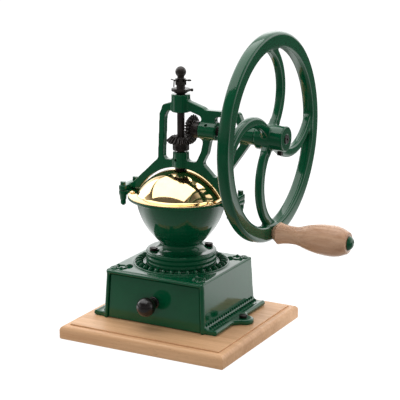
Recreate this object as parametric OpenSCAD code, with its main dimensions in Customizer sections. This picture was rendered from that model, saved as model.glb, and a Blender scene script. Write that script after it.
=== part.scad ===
// Hand-cranked coffee mill with a flywheel, standing on a wooden board.
// Millimetres. +X points right, towards the wheel; -Y is the drawer side; +Z is up.
// The origin lies on the underside of the board, under the upright shaft.

/* [Base board] */

// Width of the board, left to right
board_w = 220; // [206:1:240]
// Depth of the board, front to back
board_d = 205; // [190:1:230]
// Thickness of the board
board_t = 18; // [15:0.5:24]
// Radius of the rounded upper edge
board_edge_r = 7; // [3:0.5:9]
// Radius of the eased lower edge
board_ease_r = 2; // [1:0.5:3]
// Distance of the middle of the board to the right of the upright shaft
board_x = 9; // [0:0.5:12]
// Distance of the middle of the board in front of the upright shaft
board_y = 17; // [0:0.5:24]
// Width of the low border round the raised panel
board_border = 9.5; // [8:0.5:14]
// Height of the step up to the raised panel
board_step = 1.5; // [0.5:0.25:3]

/* [Housing] */

// Width of the housing at its top plate
housing_w = 132; // [128:1:138]
// Distance of the front edge of the top plate from the upright shaft
housing_front = 66.5; // [64:0.5:70]
// Distance of the rear edge of the top plate from the upright shaft
housing_back = 60; // [59.5:0.5:66]
// Height of the housing above the board
housing_h = 61; // [58:1:74]
// Spread of each wall from the top plate down to the board
housing_draft = 3; // [1:0.5:5]
// Thickness of the side walls
housing_wall = 5; // [3.5:0.5:6]
// Thickness of the top plate
plate_t = 5; // [4:0.5:7]
// Radius of the bead round the drawer opening
bead_r = 2.5; // [1.5:0.25:3]
// Height of the raised ring round the foot of the bowl
plate_ring_h = 0.8; // [0.4:0.1:1.5]
// Radial width of that raised ring
plate_ring_w = 13.5; // [6:0.5:14]
// Reach of the foot flange beyond the wall
flange_w = 15.5; // [13:0.5:17]
// Height of the hollow curve above the board
flange_h = 12; // [10.5:0.5:14]
// Thickness of the foot flange at the bottom of the hollow curve
flange_t = 5.5; // [4.5:0.25:6]
// Thickness of the round lip of the foot flange
flange_lip = 6.5; // [6.25:0.25:7.5]
// Reach of the screw lug beyond the lip
lug_reach = 17; // [15:0.5:20]
// Radius of the rounded end of the lug
lug_r = 11; // [9:0.5:12]
// Half width of the lug where it leaves the lip
lug_root = 20; // [14:0.5:24]
// Thickness of the lug
lug_t = 6; // [5.5:0.5:8]
// Distance of the lugs behind the middle of the housing
lug_y = -7; // [-10:1:8]

/* [Drawer] */

// Thickness of the drawer front
front_t = 5; // [4:0.5:7]
// Depth of the drawer front behind the edges of the walls
front_recess = 0.5; // [0.5:0.5:3]
// Height of the tray walls
tray_h = 44; // [38:1:46]
// Thickness of the tray walls and floor
tray_wall = 4; // [3:0.5:6]
// Radius of the ball of the drawer knob
knob_r = 11.5; // [9:0.5:13]
// Distance from the drawer front to the middle of the ball
knob_reach = 19.5; // [17:0.5:24]
// Height of the knob above the board
knob_z = 28.5; // [26:0.5:34]

/* [Bowl] */

// Radius of the foot of the bowl
foot_r = 43; // [42:0.5:46]
// Height of the foot
foot_h = 17.5; // [15:0.5:19]
// Radius of the neck
neck_r = 25.2; // [23.6:0.2:27]
// Height of the neck above the foot
neck_h = 9; // [6:0.5:11]
// Height of the bowl from the neck to the top of the rim
bowl_h = 58.5; // [55:0.5:70]
// Outer radius of the bowl under the rim
bowl_r = 54.6; // [53:0.2:56]
// Radius of the curve of the bowl in section
bowl_curve_r = 84; // [62:1:110]
// Thickness of the bowl wall
bowl_wall = 4; // [3:0.5:5]
// Outer radius of the rim
rim_r = 64.5; // [62.5:0.1:66]
// Thickness of the rim
rim_t = 4; // [3:0.5:5]
// Distance of the bolt bosses to the left and right of the upright shaft
ear_x = 73; // [72:0.5:76]
// Distance of the bolt bosses in front of and behind the upright shaft
ear_y = 14.5; // [13:0.5:18]
// Radius of the bolt bosses at the top
ear_r = 5.2; // [4.8:0.1:6]
// Radius of the bolt bosses at the lower end
ear_tip_r = 3.8; // [3.6:0.1:4.6]
// Height of the bolt bosses
ear_h = 12.5; // [10:0.5:16]

/* [Cover] */

// Radius of the dome at its foot
dome_r = 54.6; // [52:0.2:55.4]
// Height of the dome
dome_h = 31.5; // [28:0.1:33]
// Thickness of the sheet metal
sheet_t = 1.2; // [1:0.1:1.5]

/* [Bridge] */

// Height of the wheel axle above the rim of the bowl
axle_h = 82.5; // [80:0.5:86]
// Thickness of the bridge, front to back
bridge_t = 9; // [7:0.5:11]
// Gap between the bridge and the dome
bridge_gap = 2.5; // [2.25:0.25:4]
// Height of the feet of the bridge
bridge_foot_h = 6.5; // [5.5:0.5:9]
// Radius of the bearing boss on top of the bridge
top_boss_r = 11.3; // [10:0.1:12]
// Height of the lower end of that boss above the axle
top_boss_z = 19.4; // [18.8:0.2:21]
// Height of that boss
top_boss_h = 21.5; // [20:0.5:28]
// Radius of the lower bearing of the upright shaft
low_boss_r = 9.8; // [9.2:0.2:12]
// Radius of the two bearings of the wheel shaft
axle_boss_r = 11; // [9.5:0.1:11.5]
// Length of the inner bearing of the wheel shaft
inner_boss_l = 22; // [18:0.5:26]
// Length of the outer bearing of the wheel shaft
outer_boss_l = 21; // [16:0.5:22]

/* [Gears] */

// Size of the gear teeth
gear_m = 1.7; // [1.5:0.05:1.75]
// Number of teeth of each gear
gear_teeth = 20; // [20:2:20]
// Length of the teeth along the cone
gear_face = 9; // [6:0.5:10]
// Play between the teeth
gear_play = 0.7; // [0.6:0.05:0.9]
// Radius of the gear hubs
gear_hub_r = 10; // [9:0.25:11]

/* [Shafts] */

// Radius of the upright shaft
main_r = 4.5; // [4:0.1:5]
// Radius of the upper end of the upright shaft
tip_r = 3.2; // [3:0.1:3.4]
// Radius of the wheel shaft
axle_r = 5; // [4.5:0.1:5.5]
// Radial clearance of every plain bearing
run_gap = 0.06; // [0.03:0.01:0.09]
// Radial clearance of pieces that are fixed together
fit_gap = 0.03; // [0.02:0.01:0.05]

/* [Adjuster] */

// Radius of the adjusting disc
disc_r = 11.2; // [10:0.2:13]
// Thickness of the adjusting disc
disc_t = 2.75; // [1.5:0.25:3.5]
// Radius of the threaded sleeve
sleeve_r = 5.2; // [5:0.1:6]
// Height of the sleeve above the boss
sleeve_h = 10.5; // [9:0.5:15]
// Width of the castle nut across its flats
castle_w = 13; // [11:0.5:15]
// Height of the castle nut
castle_h = 6.5; // [5:0.5:9]
// Radius of the ball on top of the shaft
finial_r = 6.6; // [5.5:0.1:7.5]

/* [Burrs] */

// Outer radius of the burr ring in the foot of the bowl
burr_ring_r = 27; // [26:0.5:28]
// Height of the burr ring
burr_h = 12; // [10:0.5:12.5]
// Radius of the burr cone at its wide lower end
burr_cone_r = 20.5; // [19.5:0.25:20.75]
// Gap between the cone and the ring
burr_gap = 1.3; // [1:0.1:1.6]

/* [Flywheel] */

// Outer radius of the wheel
wheel_r = 123; // [114:0.5:126]
// Width of the rim, outside to inside
rim_radial = 19; // [15:0.5:21]
// Thickness of the rim along the axle
rim_axial = 13; // [12:0.5:18]
// Distance of the wheel from the upright shaft
wheel_x = 118; // [117.5:0.5:123]
// Radius of the wheel hub
hub_r = 15; // [13:0.5:17]
// Length of the hub on the outer side of the wheel
hub_out = 21; // [18:0.5:26]
// Width of a spoke in the plane of the wheel
spoke_w = 13; // [9:0.5:15]
// Thickness of a spoke along the axle
spoke_t = 9.5; // [7:0.5:11]
// Sideways bow of the spokes
spoke_bow = 28.5; // [22:0.5:31]
// Turn of the spokes against the grip
spoke_turn = 2; // [-10:1:10]

/* [Grip] */

// Length of the wooden grip
grip_l = 94; // [84:1:110]
// Greatest radius of the grip
grip_r = 18.2; // [15:0.2:19.4]
// Radius of the waist of the grip
grip_waist_r = 10.5; // [9:0.25:12]
// Radius of the flare next to the wheel
grip_flare_r = 13.2; // [12.2:0.2:15]
// Radius of the bolt that carries the grip
grip_bolt_r = 4; // [3:0.25:4.5]

/* [Hidden] */

$fn = 48;
// Levels from the board upwards
z_plate = board_t + housing_h;
z_foot = z_plate + foot_h;
z_neck = z_foot + neck_h;
z_rim = z_neck + bowl_h;
z_apex = z_rim + dome_h;
z_axle = z_rim + axle_h;
// Housing
half_top = housing_w / 2;
half_foot = half_top + housing_draft;
front_foot = housing_front + housing_draft;
back_foot = housing_back + housing_draft;
tilt = atan(housing_draft / housing_h);
bead_in = 0.5;
bead_top = half_top - bead_r - bead_in;
bead_end = half_top - 0.3;
z_bead = z_plate - bead_r - bead_in;
cavity_h = housing_h - plate_t;
lip_x = half_foot + flange_w;
cove_r = flange_h - flange_t;
cove_in = 0.6;
cove_x = half_foot - housing_draft * flange_h / housing_h;
lug_x = lip_x + lug_reach - lug_r;
lug_screw_x = lip_x + 4;
lug_screw_r = 2.5;
lug_head_r = 4.8;
lug_head_h = 3.2;
lug_screw_l = 10;
lug_slot = 1.2;
throat_r = burr_cone_r + 2.5;
// Drawer
slide_gap = 0.4;
front_gap = 0.8;
front_h = cavity_h - 2 * front_gap;
front_y = -front_foot + front_recess;
tray_half = half_top - housing_wall - 1.5;
tray_back = housing_back - housing_wall - 2;
tray_front = front_y + (front_t + 0.3) / cos(tilt) + tray_h * tan(tilt);
knob_face_y = front_y + knob_z * tan(tilt);
knob_y = knob_face_y - knob_reach;
knob_screw_r = 2;
tray_screw_x = 36;
tray_screw_r = 1.75;
tray_screw_in = 2;
tray_head_r = 3.5;
tray_head_h = 1.8;
// Bowl and burrs
bowl_screw_d = 24.7;
bowl_screw_r = 3;
bowl_head_r = 5;
bowl_head_h = 3.6;
bowl_slot = 1.4;
foot_shoulder = 11;
foot_hollow_r = 12;
foot_step = 1.5;
foot_slope = 3;
throat_bore = 19;
// Play round the heads of the screws
head_gap = 0.6;
z_burr = z_plate + burr_h;
z_throat = z_neck + 4;
burr_slope = 0.5;
ear_t = 5;
bolt_r = 2;
bolt_w = 6.4;
bolt_head_h = 4;
cover_flange = rim_r - dome_r;
cover_screw_r = 0.165 * cover_flange;
cover_head_r = 0.35 * cover_flange;
cover_screw_d = dome_r + 0.4725 * cover_flange;
cover_screw_a = [25, 155, 205, 335];
// Cover: the dome is part of a ball, with the door turning inside the fixed half
ball_r = (dome_r * dome_r + dome_h * dome_h) / (2 * dome_h);
z_ball = z_apex - ball_r;
door_gap = 0.4;
door_r = ball_r - sheet_t - door_gap;
collar_r = 6.2;
collar_flange_r = 10;
collar_top_r = 7.2;
collar_top_h = 0.9;
seam = 3;
door_knob_a = 14;
door_knob_z = z_rim + 0.45 * dome_h;
// Bevel gears: equal, at right angles, both with their cone points at the shaft crossing
pitch_r = gear_m * gear_teeth / 2;
cone_l = pitch_r * sqrt(2);
virt_r = pitch_r * sqrt(2);
base_r = virt_r * cos(20);
gear_tip = virt_r + 0.9 * gear_m;
gear_root = virt_r - 1.2 * gear_m;
tooth_t = PI * gear_m / 2 - gear_play / 2;
gear_small = 1 - gear_face / cone_l;
gear_back_t = 2.2;
gear_back = pitch_r + gear_back_t;
gear_hub_l = 8;
gear_pin_r = 1.5;
drive_pin_r = 1.4;
lift_gap = 1.6;
// Bridge
z_low_top = z_axle - gear_back - gear_hub_l - lift_gap;
z_low_bottom = z_apex + 2.6;
z_top_bottom = z_axle + top_boss_z;
z_top = z_top_bottom + top_boss_h;
arch_r = ball_r + bridge_gap;
shoulder_z = z_apex + 11.3;
fillet_r = 4.5;
hip_x = ear_x - 7;
drive_hub_room = 8.4;
end_gap = 0.6;
inner_boss_x = gear_back + drive_hub_room;
outer_boss_end = wheel_x - 16.5;
drive_hub_l = drive_hub_room - end_gap;
arm_z = z_axle + 21.5;
// Adjuster
disc_rise = 3.6;
disc_z = z_top + disc_rise;
z_sleeve = z_top + sleeve_h;
sleeve_depth = 14;
washer_t = 0.8;
z_castle = z_sleeve + washer_t;
pin_turn = 118;
pin_r = 0.9;
z_castle_top = z_castle + castle_h;
stud_l = 5;
z_finial = z_castle_top + finial_r + 2;
z_step = z_top - sleeve_depth - 1;
shaft_below = 13;
z_shaft_bottom = z_plate - shaft_below;
// Wheel and grip
rim_mid = wheel_r - rim_radial / 2;
rim_in = wheel_r - rim_radial;
hub_start = outer_boss_end + 1.2;
hub_end = wheel_x + hub_out;
spoke_a = [hub_r, 12];
spoke_b = [0.42 * wheel_r, spoke_bow];
spoke_c = [rim_in + 3, -3];
grip_x = wheel_x + rim_axial / 2 + 0.8;
grip_end = grip_x + grip_l;
set_screw_x = wheel_x + 13;
set_screw_r = 2.5;
rim_edge_r = 3;
spoke_edge_r = 2.6;

// Piece to build: "all" or one name of the list

// Points along the arc of radius r from p to q; a negative r bends the other way
function arc_points(p, q, r, n) =
    let (d = q - p)
    let (h = sqrt(r * r - d * d / 4))
    let (c = (p + q) / 2 + sign(r) * h * [-d[1], d[0]] / norm(d))
    let (a = atan2(p[1] - c[1], p[0] - c[0]))
    let (b = atan2(q[1] - c[1], q[0] - c[0]))
    let (s = ((b - a + 540) % 360) - 180)
    [for (i = [0 : n]) c + abs(r) * [cos(a + s * i / n), sin(a + s * i / n)]];

// Middle of the circle through three points
function circle_middle(a, b, c) =
    let (u = b - a)
    let (v = c - a)
    let (k = 2 * (u[0] * v[1] - u[1] * v[0]))
    a + [v[1] * (u * u) - u[1] * (v * v), u[0] * (v * v) - v[0] * (u * u)] / k;

// Half width of the drawer opening at height z above the board
function opening_half(z) = half_top - housing_wall + housing_draft * (1 - z / housing_h);

function involute(a) = tan(a) - a * PI / 180;

// Half angle of a gear tooth at radius r of the unrolled back cone, seen along the gear
function tooth_half(r) =
    (tooth_t / 2 / virt_r + involute(20) - involute(acos(min(1, base_r / r)))) * 180 / PI * sqrt(2);

// Point of a gear flank: s is the side, a the middle of the tooth, k the scale to the cone point
function flank_point(r, s, a, k) =
    let (w = a + s * tooth_half(max(r, base_r)))
    let (d = (r - virt_r) / sqrt(2))
    k * [(pitch_r + d) * cos(w), (pitch_r + d) * sin(w), d - pitch_r];

// One ring of points round the teeth
function gear_ring(k) =
    [for (i = [0 : gear_teeth - 1])
        for (f = [[gear_root, -1], [base_r, -1], [virt_r, -1], [gear_tip, -1],
                [gear_tip, 1], [virt_r, 1], [base_r, 1], [gear_root, 1]])
            flank_point(f[0], f[1], i * 360 / gear_teeth, k)];

// Rod of radius r from p to q
module rod(p, q, r) {
    d = q - p;
    translate(p)
        rotate([0, acos(d[2] / norm(d)), atan2(d[1], d[0])])
            cylinder(h = norm(d), r = r);
}

// Flat limb of width w with many-sided round ends, drawn from p to q
module limb(p, q, w) {
    d = q - p;
    a = atan2(d[1], d[0]);
    n = 8;
    polygon(concat(
        [for (i = [0 : n]) q + w / 2 * [cos(a - 90 + 180 * i / n), sin(a - 90 + 180 * i / n)]],
        [for (i = [0 : n]) p + w / 2 * [cos(a + 90 + 180 * i / n), sin(a + 90 + 180 * i / n)]]));
}

// Flat bar of width w with round ends, drawn from p to q
module bar(p, q, w) {
    d = q - p;
    translate(p)
        rotate(atan2(d[1], d[0]))
            translate([0, -w / 2])
                square([norm(d), w]);
    translate(p)
        circle(d = w);
    translate(q)
        circle(d = w);
}

// Rectangle with rounded corners round the origin
module rounded(w, h, r) {
    square([w - 2 * r, h], center = true);
    square([w, h - 2 * r], center = true);
    for (i = [-1, 1])
        for (j = [-1, 1])
            translate([i * (w / 2 - r), j * (h / 2 - r)])
                circle(r);
}

// Cylinder lying along +X from x0 to x1
module lying(x0, x1, r) {
    translate([x0, 0, 0])
        rotate([0, 90, 0])
            cylinder(h = x1 - x0, r = r);
}

module hexagon(w, h) {
    cylinder(h = h, d = w / cos(30), $fn = 6);
}

// Section across the board
module board_section(w) {
    top = board_t - board_step;
    translate([-w / 2, board_ease_r])
        square([w, top - board_edge_r - board_ease_r]);
    translate([-w / 2 + board_ease_r, 0])
        square([w - 2 * board_ease_r, top - board_edge_r]);
    translate([-w / 2 + board_edge_r, 0])
        square([w - 2 * board_edge_r, top]);
    for (i = [-1, 1]) {
        translate([i * (w / 2 - board_ease_r), board_ease_r])
            circle(board_ease_r);
        translate([i * (w / 2 - board_edge_r), top - board_edge_r])
            circle(board_edge_r);
    }
}

// Places of the two screws in the lugs
module at_lugs() {
    for (i = [-1, 1])
        translate([i * lug_screw_x, lug_y, board_t])
            children();
}

// Places of the two screws through the foot of the bowl
module at_bowl_screws() {
    for (i = [-1, 1])
        translate([i * bowl_screw_d, i * bowl_screw_d, z_foot])
            children();
}

// Places of the screws round the cover
module at_cover_screws() {
    for (a = cover_screw_a)
        rotate(a)
            translate([cover_screw_d, 0, z_rim])
                children();
}

// Places of the four bolts of the bridge
module at_ears() {
    for (i = [-1, 1])
        for (j = [-1, 1])
            translate([i * ear_x, j * ear_y, z_rim])
                children();
}

module base_board() {
    color("BurlyWood")
        difference() {
            translate([board_x, -board_y, 0]) {
                intersection() {
                    rotate([90, 0, 0])
                        linear_extrude(height = board_d, center = true)
                            board_section(board_w);
                    rotate([90, 0, 90])
                        linear_extrude(height = board_w, center = true)
                            board_section(board_d);
                }
                translate([-board_w / 2 + board_border, -board_d / 2 + board_border, board_t / 2])
                    cube([board_w - 2 * board_border, board_d - 2 * board_border, board_t / 2]);
            }
            at_lugs()
                translate([0, 0, -1.1 * lug_screw_l])
                    cylinder(h = 1.2 * lug_screw_l, r = lug_screw_r + fit_gap);
        }
}

// Section of the foot flange with its hollow curve and round lip
module flange_section() {
    difference() {
        translate([half_foot - 3, 0])
            square([cove_x + cove_r - half_foot + 3, flange_h]);
        translate([cove_x + cove_r - cove_in, flange_t + cove_r])
            circle(cove_r);
    }
    translate([half_foot - 3, 0])
        square([flange_w + 3 - flange_lip / 2, flange_t]);
    translate([lip_x - flange_lip / 2, flange_lip / 2])
        circle(flange_lip / 2);
}

// Foot flange and lug of one side, at the right
module housing_side() {
    translate([0, back_foot, 0])
        rotate([90, 0, 0])
            linear_extrude(height = front_foot + back_foot - 1.5)
                flange_section();
    linear_extrude(height = lug_t) {
        translate([lug_x, lug_y])
            circle(lug_r);
        translate([0, lug_y])
            polygon([[half_foot - 2, -lug_root], [lip_x - 2, -lug_root], [lug_x, -lug_r],
                [lug_x, lug_r], [lip_x - 2, lug_root], [half_foot - 2, lug_root]]);
    }
}

module housing() {
    color("DarkGreen")
        difference() {
            union() {
                translate([0, 0, board_t]) {
                    translate([0, (back_foot - front_foot) / 2, 0])
                        linear_extrude(height = housing_h, scale = [half_top / half_foot,
                                (housing_front + housing_back) / (front_foot + back_foot)])
                            square([2 * half_foot, front_foot + back_foot], center = true);
                    housing_side();
                    mirror([1, 0, 0])
                        housing_side();
                }
                rod([-bead_end, -housing_front, z_bead], [bead_end, -housing_front, z_bead], bead_r);
                for (i = [-1, 1])
                    rod([i * (half_foot - bead_r - bead_in), -front_foot, board_t],
                        [i * bead_top, -housing_front, z_bead], bead_r - 0.3);
                translate([0, 0, z_plate - 1])
                    cylinder(h = plate_ring_h + 1, r = foot_r + 2 + plate_ring_w);
            }
            translate([0, housing_back - housing_wall, board_t])
                rotate([90, 0, 0])
                    linear_extrude(height = front_foot + back_foot + 20)
                        polygon([[-opening_half(-1), -1], [opening_half(-1), -1],
                            [opening_half(cavity_h), cavity_h], [-opening_half(cavity_h), cavity_h]]);
            translate([-2 * half_foot, -2 * front_foot, board_t - 5])
                cube([4 * half_foot, 2 * (front_foot + back_foot), 5]);
            translate([0, 0, z_plate])
                cylinder(h = 5, r = foot_r + 2);
            translate([0, 0, z_plate - plate_t - 1])
                cylinder(h = plate_t + 2, r = throat_r);
            at_bowl_screws()
                translate([0, 0, -foot_h - plate_t - 1])
                    cylinder(h = plate_t + 3, r = bowl_screw_r + fit_gap);
            at_lugs() {
                translate([0, 0, -1])
                    cylinder(h = lug_t + 2, r = lug_screw_r + fit_gap);
                translate([0, 0, lug_t])
                    cylinder(h = 4 * lug_head_h, r = lug_head_r + head_gap);
            }
        }
}

module housing_screws() {
    color("DimGray")
        at_lugs()
            difference() {
                union() {
                    translate([0, 0, -lug_screw_l])
                        cylinder(h = lug_screw_l + lug_t, r = lug_screw_r);
                    translate([0, 0, lug_t])
                        cylinder(h = lug_head_h, r = lug_head_r);
                }
                translate([-lug_head_r, -lug_slot / 2, lug_t + lug_head_h - lug_slot])
                    cube([2 * lug_head_r, lug_slot, 2 * lug_slot]);
            }
}

// Moves its children to the sloping plane of the drawer front, with y to the rear
module at_front() {
    translate([0, front_y, board_t + front_gap])
        rotate([-tilt, 0, 0])
            children();
}

module drawer_front() {
    low = opening_half(front_gap) - front_gap;
    high = opening_half(front_gap + front_h) - front_gap;
    color("DarkGreen")
        difference() {
            at_front()
                translate([0, front_t, 0])
                    rotate([90, 0, 0])
                        linear_extrude(height = front_t)
                            polygon([[-low, 0], [low, 0], [high, front_h], [-high, front_h]]);
            translate([0, front_y + 20, board_t + knob_z])
                rotate([90, 0, 0])
                    cylinder(h = 40, r = knob_screw_r + fit_gap);
            at_tray_screws()
                translate([0, 0, 0.75 * tray_screw_in])
                    cylinder(h = 3 * front_t, r = tray_screw_r + fit_gap);
        }
}

// Places of the two screws that hold the tray to the drawer front, pointing to the rear
module at_tray_screws() {
    for (i = [-1, 1])
        translate([i * tray_screw_x, knob_face_y, board_t + knob_z])
            rotate([-90, 0, 0])
                children();
}

module drawer_tray() {
    color("BurlyWood")
        difference() {
            translate([-tray_half, tray_front, board_t + slide_gap])
                cube([2 * tray_half, tray_back - tray_front, tray_h]);
            translate([-tray_half + tray_wall, tray_front + tray_wall, board_t + slide_gap + tray_wall])
                cube([2 * (tray_half - tray_wall), tray_back - tray_front - 2 * tray_wall, tray_h]);
            translate([0, tray_front + 20, board_t + knob_z])
                rotate([90, 0, 0])
                    cylinder(h = 40, r = knob_screw_r + fit_gap);
            at_tray_screws()
                cylinder(h = 30, r = tray_screw_r + fit_gap);
        }
}

module drawer_screws() {
    end = tray_front + tray_wall - knob_face_y;
    color("DimGray")
        at_tray_screws() {
            translate([0, 0, tray_screw_in])
                cylinder(h = end - tray_screw_in / 2, r = tray_screw_r);
            translate([0, 0, end])
                cylinder(h = tray_head_h, r = tray_head_r);
        }
}

// Knob with its foot cut to the slope of the drawer front
module drawer_knob() {
    neck_r0 = 0.5 * knob_r;
    color("SaddleBrown")
        difference() {
            translate([0, knob_face_y, board_t + knob_z])
                rotate([90, 0, 0]) {
                    translate([0, 0, knob_reach])
                        sphere(knob_r);
                    translate([0, 0, -1])
                        cylinder(h = knob_reach - 5, r = neck_r0);
                    translate([0, 0, -1])
                        cylinder(h = 3.5, r = neck_r0 + 1.8);
                }
            translate([0, knob_face_y + 5, board_t + knob_z])
                rotate([90, 0, 0])
                    cylinder(h = knob_reach + 4, r = knob_screw_r + fit_gap);
            at_front()
                translate([-2 * knob_r, 0, -10])
                    cube([4 * knob_r, 10, housing_h + 20]);
        }
}

module drawer_knob_screw() {
    color("DimGray")
        translate([0, tray_front + tray_wall, board_t + knob_z])
            rotate([90, 0, 0]) {
                cylinder(h = tray_front + tray_wall - knob_face_y + knob_reach - 2, r = knob_screw_r);
                translate([0, 0, -2.4])
                    cylinder(h = 2.4, r = 4.2);
            }
}

// Half section of the bowl
module bowl_section() {
    outer = arc_points([neck_r, z_neck], [bowl_r, z_rim - rim_t], bowl_curve_r, 14);
    inner = arc_points([bowl_r - bowl_wall, z_rim - rim_t], [throat_bore, z_throat], -bowl_curve_r, 14);
    hollow = arc_points([foot_r - foot_shoulder, z_foot], [neck_r, z_neck], -foot_hollow_r, 6);
    polygon(concat(
        [[burr_ring_r + fit_gap, z_plate], [foot_r, z_plate], [foot_r, z_plate + 0.24 * foot_h],
            [foot_r - foot_step, z_plate + 0.30 * foot_h], [foot_r - foot_step, z_plate + 0.36 * foot_h],
            [foot_r, z_plate + 0.42 * foot_h], [foot_r, z_plate + 0.54 * foot_h],
            [foot_r - foot_step, z_plate + 0.60 * foot_h], [foot_r - foot_step, z_plate + 0.66 * foot_h],
            [foot_r - 0.2, z_plate + 0.72 * foot_h], [foot_r - 0.2, z_foot - 0.4 * foot_slope],
            [foot_r - 0.5 * foot_slope, z_foot]],
        hollow, outer,
        [[rim_r - 0.2 * rim_t, z_rim - rim_t], [rim_r, z_rim - 0.8 * rim_t], [rim_r, z_rim],
            [bowl_r - bowl_wall, z_rim]],
        inner,
        [[throat_bore, z_burr + fit_gap], [burr_ring_r + fit_gap, z_burr + fit_gap]]));
}

// Outline of the two bolt bosses of one side and the pad between them, at the right
module ear_outline() {
    bar([ear_x, -ear_y], [ear_x, ear_y], 2 * ear_r);
}

// Bolt bosses of the bowl rim, at the right
module ear() {
    translate([0, 0, z_rim - ear_t])
        linear_extrude(height = ear_t) {
            ear_outline();
            translate([rim_r - 12, -ear_y])
                square([ear_x - rim_r + 12, 2 * ear_y]);
        }
    for (j = [-1, 1])
        translate([ear_x, j * ear_y, z_rim - ear_h])
            cylinder(h = ear_h, r1 = ear_tip_r, r2 = ear_r);
}

module bowl() {
    color("DarkGreen")
        difference() {
            union() {
                rotate_extrude()
                    bowl_section();
                ear();
                mirror([1, 0, 0])
                    ear();
            }
            at_bowl_screws()
                translate([0, 0, -foot_h - 1])
                    cylinder(h = foot_h + 2, r = bowl_screw_r + fit_gap);
            at_bowl_screws()
                cylinder(h = 1.7 * bowl_head_h, r = bowl_head_r + head_gap);
            at_cover_screws()
                translate([0, 0, -rim_t - 1])
                    cylinder(h = rim_t + 2, r = cover_screw_r + fit_gap);
            at_ears()
                translate([0, 0, -ear_h - 1])
                    cylinder(h = ear_h + 2, r = bolt_r + fit_gap);
        }
}

module bowl_screws() {
    color("DimGray")
        at_bowl_screws()
            difference() {
                union() {
                    translate([0, 0, -foot_h - 0.9 * plate_t])
                        cylinder(h = foot_h + 0.9 * plate_t + bowl_head_h / 2, r = bowl_screw_r);
                    cylinder(h = bowl_head_h, r = bowl_head_r);
                }
                translate([-bowl_head_r, -bowl_slot / 2, bowl_head_h - bowl_slot])
                    cube([2 * bowl_head_r, bowl_slot, 2 * bowl_slot]);
            }
}

module burr_ring() {
    top_r = burr_cone_r + burr_gap - burr_slope * burr_h;
    color("SlateGray")
        difference() {
            translate([0, 0, z_plate])
                cylinder(h = burr_h, r = burr_ring_r);
            translate([0, 0, z_plate - 1])
                cylinder(h = burr_h + 2, r1 = burr_cone_r + burr_gap + burr_slope, r2 = top_r - burr_slope);
            for (i = [0 : 15])
                rotate(i * 22.5)
                    translate([top_r - 2, -0.6, z_plate - 1])
                        cube([burr_cone_r + burr_gap + 1 - top_r + 2, 1.2, burr_h + 2]);
        }
}

module burr_cone() {
    top_r = burr_cone_r - burr_slope * burr_h;
    color("SlateGray")
        difference() {
            translate([0, 0, z_plate])
                cylinder(h = burr_h, r1 = burr_cone_r, r2 = top_r);
            translate([0, 0, z_plate - 1])
                cylinder(h = burr_h + 2, r = main_r + fit_gap);
            for (i = [0 : 11])
                rotate(i * 30)
                    translate([top_r - 2.5, -0.7, z_plate - 1])
                        cube([12, 1.4, burr_h + 2]);
        }
}

module burr_washer() {
    color("DimGray")
        translate([0, 0, z_plate - 1.5])
            difference() {
                cylinder(h = 1.5, r = 11);
                translate([0, 0, -1])
                    cylinder(h = 4, r = main_r + fit_gap);
            }
}

module burr_nut() {
    color("DimGray")
        translate([0, 0, z_plate - 8.5])
            difference() {
                hexagon(15, 7);
                translate([0, 0, -1])
                    cylinder(h = 9, r = main_r + fit_gap);
            }
}

module cover_front() {
    color("Gold")
        difference() {
            union() {
                translate([0, 0, z_rim])
                    cylinder(h = sheet_t, r = rim_r);
                intersection() {
                    translate([0, 0, z_ball])
                        sphere(ball_r);
                    translate([-rim_r, -rim_r, z_rim])
                        cube([2 * rim_r, rim_r + seam, dome_h + 5]);
                }
            }
            intersection() {
                translate([0, 0, z_ball])
                    sphere(ball_r - sheet_t);
                translate([-rim_r, -rim_r, z_rim - 1])
                    cube([2 * rim_r, 2 * rim_r, dome_h + 5]);
            }
            translate([0, 0, z_rim - 1])
                cylinder(h = dome_h + 5, r = collar_r + 0.3);
            at_cover_screws()
                translate([0, 0, -1])
                    cylinder(h = 5, r = cover_screw_r + 0.1);
        }
}

module cover_screws() {
    color("Gold")
        at_cover_screws() {
            translate([0, 0, -0.9 * rim_t])
                cylinder(h = 0.9 * rim_t + sheet_t + 0.2 * cover_head_r, r = cover_screw_r);
            intersection() {
                translate([0, 0, sheet_t - 0.3 * cover_head_r])
                    sphere(cover_head_r);
                translate([0, 0, sheet_t])
                    cylinder(h = cover_head_r, r = cover_head_r);
            }
        }
}

module cover_collar() {
    color("DimGray")
        difference() {
            union() {
                translate([0, 0, z_apex - 5.4])
                    cylinder(h = 5.5 + collar_top_h, r = collar_r);
                translate([0, 0, z_apex + 0.1])
                    cylinder(h = collar_top_h, r = collar_top_r);
                translate([0, 0, z_apex - 5.4])
                    cylinder(h = 1.4, r = collar_flange_r);
            }
            translate([0, 0, z_apex - 6])
                cylinder(h = 10, r = main_r + 0.4);
        }
}

module cover_door() {
    color("Gold")
        difference() {
            intersection() {
                translate([0, 0, z_ball])
                    sphere(door_r);
                translate([-rim_r, -seam, z_rim + sheet_t + door_gap])
                    cube([2 * rim_r, rim_r + seam, dome_h + 5]);
            }
            translate([0, 0, z_ball])
                sphere(door_r - sheet_t);
            translate([0, 0, z_rim - 1])
                cylinder(h = dome_h + 5, r = collar_r + 0.08);
            at_door_knob()
                translate([0, 0, -6])
                    cylinder(h = 8, r = 1.5 + fit_gap);
        }
}

// Place of the door knob on the ball of the door, pointing outwards
module at_door_knob() {
    e = asin((door_knob_z - z_ball) / door_r);
    translate([0, 0, z_ball])
        rotate([0, 90 - e, door_knob_a])
            translate([0, 0, door_r])
                children();
}

module cover_door_knob() {
    color("Gold")
        at_door_knob() {
            translate([0, 0, 0.1])
                cylinder(h = 4, r = 2);
            translate([0, 0, 5])
                sphere(3.2);
            translate([0, 0, -sheet_t - 0.6])
                cylinder(h = sheet_t + 1.6, r = 1.5);
        }
}

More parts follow.
